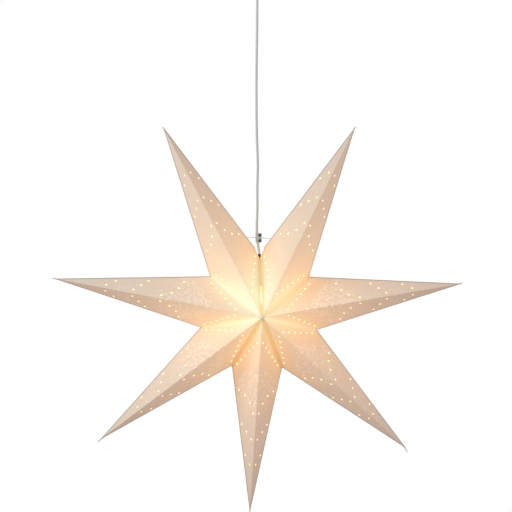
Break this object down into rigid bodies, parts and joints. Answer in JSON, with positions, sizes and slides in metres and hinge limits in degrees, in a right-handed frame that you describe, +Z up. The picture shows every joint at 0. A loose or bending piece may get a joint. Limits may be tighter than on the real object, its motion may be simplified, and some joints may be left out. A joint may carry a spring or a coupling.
{
  "type": "paper star lantern",
  "caption": "Hanging lantern: a flat star of folded, punched white paper points round a small bulb, on a mains cord from a ceiling cup.",
  "frame": {"origin": "on the ceiling, at the middle of the bracket's upper face, on the axis of the cord's top end", "axes": "+Z up, -Y to the star's front, +X to the viewer's right"},
  "size_m": [0.7099, 0.184, 0.9786],
  "materials": {
    "paper": "matte white paper, lit from inside",
    "cord_sheath": "soft matte",
    "lead_brown": "matte",
    "lead_blue": "matte",
    "white_plastic": "satin",
    "dark_plastic": "satin",
    "block_plastic": "satin",
    "zinc_steel": "satin",
    "dark_steel": "blackened, satin",
    "brass": "satin",
    "ceramic": "satin",
    "opal": "opal, satin",
    "lamp_white": "satin",
    "cap_metal": "satin"
  },
  "bodies": {
    "ceiling_fixing": {"ceiling_bracket": "zinc_steel", "cord_anchor": "white_plastic", "terminal_block": "block_plastic", "terminal_sleeves": "brass", "terminal_screws": "zinc_steel", "lead_brown": "lead_brown", "lead_blue": "lead_blue"},
    "cup": {"ceiling_cup": "white_plastic", "cup_grub_screw": "white_plastic"},
    "pendant": {"cord": "cord_sheath", "cord_boot": "dark_plastic", "clamp_front": "white_plastic", "clamp_back": "white_plastic", "clamp_screws": "dark_steel", "hanger_wire": "zinc_steel", "holder_dome": "lamp_white", "holder_skirt": "lamp_white", "holder_insert": "ceramic", "holder_shell": "brass", "holder_contact": "brass", "holder_screws": "brass"},
    "bulb": {"bulb_globe": "opal", "bulb_housing": "lamp_white", "bulb_screw_cap": "cap_metal", "bulb_insulator": "dark_plastic", "bulb_contact": "brass"},
    "bottom_point": {"star_point_4": "paper"},
    "lower_right_point": {"star_point_5": "paper"},
    "right_point": {"star_point_6": "paper"},
    "upper_right_point": {"star_point_7": "paper", "seam_clip_front": "zinc_steel", "seam_clip_back": "zinc_steel"},
    "lower_left_point": {"star_point_3": "paper"},
    "left_point": {"star_point_2": "paper"},
    "upper_left_point": {"star_point_1": "paper"}
  },
  "joints": [
    {"name": "cup_slide", "type": "slide", "parent": "ceiling_fixing", "child": "cup", "axis": [0, 0, -1], "range_m": [0, 0.045]},
    {"name": "lantern_turn", "type": "hinge", "parent": "ceiling_fixing", "child": "pendant", "pos_m": [0, 0, 0], "axis": [0, 0, 1], "range_deg": [-180, 180]},
    {"name": "bulb_out", "type": "slide", "parent": "pendant", "child": "bulb", "axis": [0, 0, -1], "range_m": [0, 0.026]},
    {"name": "star_tilt", "type": "hinge", "parent": "pendant", "child": "bottom_point", "pos_m": [0.0036, 0, -0.491], "axis": [1, 0, 0], "range_deg": [-5, 5]},
    {"name": "star_fold", "type": "hinge", "parent": "bottom_point", "child": "upper_right_point", "pos_m": [0.0036, 0, -0.62], "axis": [0, 1, 0], "range_deg": [0, 142.93], "deforming": ["star_point_7", "star_point_4"]},
    {"name": "right_fold", "type": "hinge", "parent": "bottom_point", "child": "right_point", "pos_m": [0.0036, 0, -0.62], "axis": [0, 1, 0], "range_deg": [0, 92.4], "deforming": ["star_point_6"]},
    {"name": "lower_right_fold", "type": "hinge", "parent": "bottom_point", "child": "lower_right_point", "pos_m": [0.0036, 0, -0.62], "axis": [0, 1, 0], "range_deg": [0, 45.6], "deforming": ["star_point_5"]},
    {"name": "lower_left_fold", "type": "hinge", "parent": "bottom_point", "child": "lower_left_point", "pos_m": [0.0036, 0, -0.62], "axis": [0, 1, 0], "range_deg": [-44.78, 0], "deforming": ["star_point_3"]},
    {"name": "left_fold", "type": "hinge", "parent": "bottom_point", "child": "left_point", "pos_m": [0.0036, 0, -0.62], "axis": [0, 1, 0], "range_deg": [-89.11, 0], "deforming": ["star_point_2"]},
    {"name": "upper_left_fold", "type": "hinge", "parent": "bottom_point", "child": "upper_left_point", "pos_m": [0.0036, 0, -0.62], "axis": [0, 1, 0], "range_deg": [-137.98, 0], "deforming": ["star_point_1"]}
  ],
  "couplings": [
    {"joint": "right_fold", "follows": "star_fold", "ratio": 0.64611},
    {"joint": "lower_right_fold", "follows": "star_fold", "ratio": 0.31868},
    {"joint": "lower_left_fold", "follows": "star_fold", "ratio": -0.31295},
    {"joint": "left_fold", "follows": "star_fold", "ratio": -0.62307},
    {"joint": "upper_left_fold", "follows": "star_fold", "ratio": -0.96498}
  ]
}
